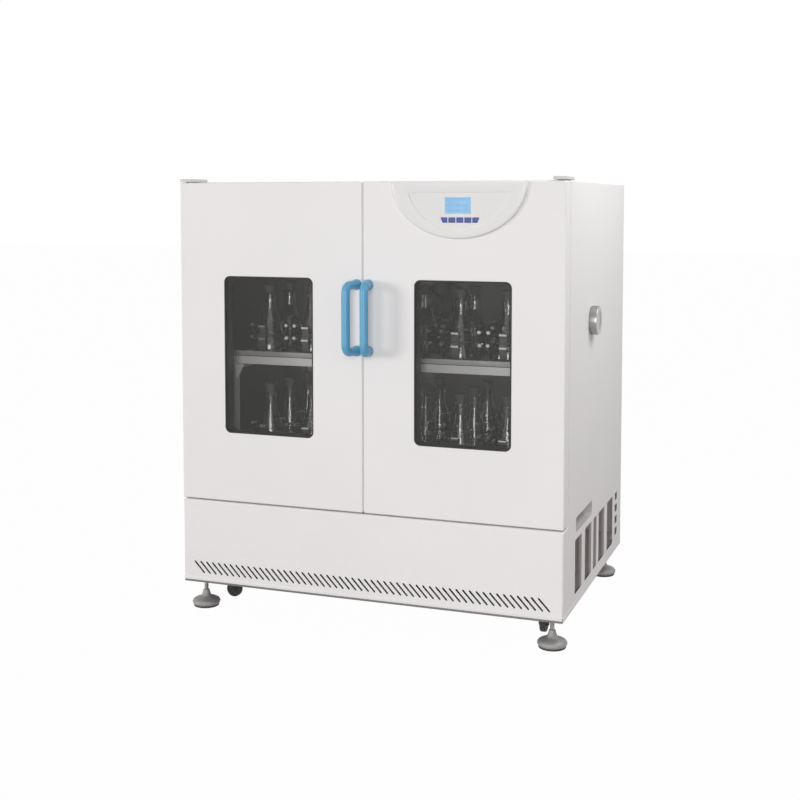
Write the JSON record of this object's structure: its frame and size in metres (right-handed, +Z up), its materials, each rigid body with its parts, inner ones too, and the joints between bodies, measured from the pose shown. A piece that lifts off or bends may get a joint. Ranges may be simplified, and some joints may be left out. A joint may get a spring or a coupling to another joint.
{
  "type": "incubated shaker",
  "caption": "Floor-standing incubated orbital shaker: windowed double doors with bar handles, flask decks on an orbit drive, machine bay behind a slotted skirt, levelling feet and casters.",
  "frame": {"origin": "on the floor, under the middle of the whole part's bounding box", "axes": "+Z up, -Y towards the person who opens the doors, +X to the side with the access port"},
  "size_m": [1.224, 0.9772, 1.3378],
  "materials": {
    "cabinet_paint": "smooth off-white powder coat",
    "vent_grey": "matt grey grille sheet",
    "frame_grey": "matt dark grey paint",
    "chamber_steel": "brushed stainless sheet",
    "deck_steel": "brushed stainless sheet",
    "hinge_steel": "light grey painted steel",
    "port_steel": "turned stainless",
    "foam": "cut foam",
    "liner_plastic": "satin white sheet",
    "moulding_plastic": "satin white moulded plastic",
    "handle_blue": "satin blue plastic",
    "display_blue": "glossy display window",
    "key_blue": "satin dark blue",
    "window_glass": "smoked clear glass",
    "seal_rubber": "matt black rubber",
    "belt_rubber": "matt black rubber",
    "zinc_steel": "zinc plated",
    "foot_grey": "dull grey metal",
    "plain_aluminium": "milled",
    "compressor_black": "satin black paint",
    "box_plastic": "matt black plastic",
    "caster_black": "matt black tread"
  },
  "bodies": {
    "cabinet": {"base_frame": "frame_grey", "cabinet_shell": "cabinet_paint", "insulation_jacket": "foam", "chamber_liner": "chamber_steel", "front_skirt": "cabinet_paint", "rear_panel": "cabinet_paint", "side_vent_left": "vent_grey", "side_vent_right": "vent_grey", "hinge_top_left": "hinge_steel", "hinge_top_right": "hinge_steel", "side_panel_left": "cabinet_paint", "side_panel_right": "cabinet_paint", "service_cover": "cabinet_paint", "port_tube": "port_steel", "compressor": "compressor_black", "condenser": "plain_aluminium", "electrical_box": "box_plastic", "drive_motor": "frame_grey", "drive_bed": "frame_grey", "drive_belt": "belt_rubber", "air_duct_panel": "chamber_steel", "heater_element": "chamber_steel", "fan_motor": "frame_grey"},
    "left_door": {"left_door_panel": "cabinet_paint", "left_door_liner": "liner_plastic", "left_window_pane": "window_glass", "left_door_seal": "seal_rubber", "left_handle": "handle_blue"},
    "right_door": {"right_door_panel": "cabinet_paint", "right_door_liner": "liner_plastic", "right_window_pane": "window_glass", "right_door_seal": "seal_rubber", "right_handle": "handle_blue", "control_moulding": "moulding_plastic", "display_screen": "display_blue"},
    "drive_crank": {"drive_crank": "zinc_steel"},
    "idler_crank_left": {"idler_crank_left": "zinc_steel"},
    "idler_crank_right": {"idler_crank_right": "zinc_steel"},
    "motor_pulley": {"motor_pulley": "plain_aluminium"},
    "platform": {"orbit_table": "plain_aluminium", "deck_frame": "deck_steel", "lower_tray": "deck_steel", "upper_tray": "deck_steel"},
    "circulation_fan": {"circulation_fan": "plain_aluminium"},
    "port_cap": {"port_cap": "port_steel"},
    "key_1": {"key_1": "key_blue"},
    "key_2": {"key_2": "key_blue"},
    "key_3": {"key_3": "key_blue"},
    "key_4": {"key_4": "key_blue"},
    "key_5": {"key_5": "key_blue"},
    "foot_front_left": {"foot_front_left": "foot_grey"},
    "foot_front_right": {"foot_front_right": "foot_grey"},
    "foot_rear_left": {"foot_rear_left": "foot_grey"},
    "foot_rear_right": {"foot_rear_right": "foot_grey"},
    "caster_fork_front_left": {"caster_fork_front_left": "zinc_steel"},
    "caster_fork_front_right": {"caster_fork_front_right": "zinc_steel"},
    "caster_wheel_front_left": {"caster_wheel_front_left": "caster_black"},
    "caster_wheel_front_right": {"caster_wheel_front_right": "caster_black"},
    "caster_wheel_rear_left": {"caster_wheel_rear_left": "caster_black"},
    "caster_wheel_rear_right": {"caster_wheel_rear_right": "caster_black"}
  },
  "joints": [
    {"name": "left_door_hinge", "type": "hinge", "parent": "cabinet", "child": "left_door", "pos_m": [-0.6, -0.386, 0.354], "axis": [0, 0, -1], "range_deg": [0, 110]},
    {"name": "right_door_hinge", "type": "hinge", "parent": "cabinet", "child": "right_door", "pos_m": [0.576, -0.386, 0.354], "axis": [0, 0, 1], "range_deg": [0, 110]},
    {"name": "key_1_press", "type": "slide", "parent": "right_door", "child": "key_1", "axis": [0, 1, 0], "range_m": [0, 0.0012], "stiffness_N_per_m": 400},
    {"name": "key_2_press", "type": "slide", "parent": "right_door", "child": "key_2", "axis": [0, 1, 0], "range_m": [0, 0.0012], "stiffness_N_per_m": 400},
    {"name": "key_3_press", "type": "slide", "parent": "right_door", "child": "key_3", "axis": [0, 1, 0], "range_m": [0, 0.0012], "stiffness_N_per_m": 400},
    {"name": "key_4_press", "type": "slide", "parent": "right_door", "child": "key_4", "axis": [0, 1, 0], "range_m": [0, 0.0012], "stiffness_N_per_m": 400},
    {"name": "key_5_press", "type": "slide", "parent": "right_door", "child": "key_5", "axis": [0, 1, 0], "range_m": [0, 0.0012], "stiffness_N_per_m": 400},
    {"name": "drive_crank_spin", "type": "hinge", "parent": "cabinet", "child": "drive_crank", "pos_m": [-0.012, -0.0135, 0.4], "axis": [0, 0, 1], "continuous": true},
    {"name": "platform_orbit", "type": "hinge", "parent": "drive_crank", "child": "platform", "pos_m": [0.001, -0.0135, 0.4188], "axis": [0, 0, 1], "continuous": true},
    {"name": "idler_crank_left_spin", "type": "hinge", "parent": "cabinet", "child": "idler_crank_left", "pos_m": [-0.332, 0.0865, 0.4], "axis": [0, 0, 1], "continuous": true},
    {"name": "idler_crank_right_spin", "type": "hinge", "parent": "cabinet", "child": "idler_crank_right", "pos_m": [0.308, 0.0865, 0.4], "axis": [0, 0, 1], "continuous": true},
    {"name": "motor_pulley_spin", "type": "hinge", "parent": "cabinet", "child": "motor_pulley", "pos_m": [-0.182, 0.0065, 0.335], "axis": [0, 0, 1], "continuous": true},
    {"name": "fan_spin", "type": "hinge", "parent": "cabinet", "child": "circulation_fan", "pos_m": [-0.012, 0.3865, 0.9], "axis": [0, 1, 0], "continuous": true},
    {"name": "port_cap_pull", "type": "slide", "parent": "cabinet", "child": "port_cap", "axis": [1, 0, 0], "range_m": [0, 0.06]},
    {"name": "foot_front_left_screw", "type": "slide", "parent": "cabinet", "child": "foot_front_left", "axis": [0, 0, -1], "range_m": [0, 0.02]},
    {"name": "foot_front_right_screw", "type": "slide", "parent": "cabinet", "child": "foot_front_right", "axis": [0, 0, -1], "range_m": [0, 0.02]},
    {"name": "foot_rear_left_screw", "type": "slide", "parent": "cabinet", "child": "foot_rear_left", "axis": [0, 0, -1], "range_m": [0, 0.02]},
    {"name": "foot_rear_right_screw", "type": "slide", "parent": "cabinet", "child": "foot_rear_right", "axis": [0, 0, -1], "range_m": [0, 0.02]},
    {"name": "caster_front_left_swivel", "type": "hinge", "parent": "cabinet", "child": "caster_fork_front_left", "pos_m": [-0.522, -0.2735, 0.09], "axis": [0, 0, 1], "continuous": true},
    {"name": "caster_front_right_swivel", "type": "hinge", "parent": "cabinet", "child": "caster_fork_front_right", "pos_m": [0.498, -0.2735, 0.09], "axis": [0, 0, 1], "continuous": true},
    {"name": "caster_front_left_roll", "type": "hinge", "parent": "caster_fork_front_left", "child": "caster_wheel_front_left", "pos_m": [-0.51, -0.2735, 0.035], "axis": [0, 1, 0], "continuous": true},
    {"name": "caster_front_right_roll", "type": "hinge", "parent": "caster_fork_front_right", "child": "caster_wheel_front_right", "pos_m": [0.498, -0.2615, 0.035], "axis": [1, 0, 0], "continuous": true},
    {"name": "caster_rear_left_roll", "type": "hinge", "parent": "cabinet", "child": "caster_wheel_rear_left", "pos_m": [-0.522, 0.3165, 0.035], "axis": [1, 0, 0], "continuous": true},
    {"name": "caster_rear_right_roll", "type": "hinge", "parent": "cabinet", "child": "caster_wheel_rear_right", "pos_m": [0.498, 0.3165, 0.035], "axis": [1, 0, 0], "continuous": true}
  ],
  "couplings": [
    {"joint": "platform_orbit", "follows": "drive_crank_spin", "ratio": -1},
    {"joint": "idler_crank_left_spin", "follows": "drive_crank_spin", "ratio": 1},
    {"joint": "idler_crank_right_spin", "follows": "drive_crank_spin", "ratio": 1},
    {"joint": "motor_pulley_spin", "follows": "drive_crank_spin", "ratio": 3}
  ]
}
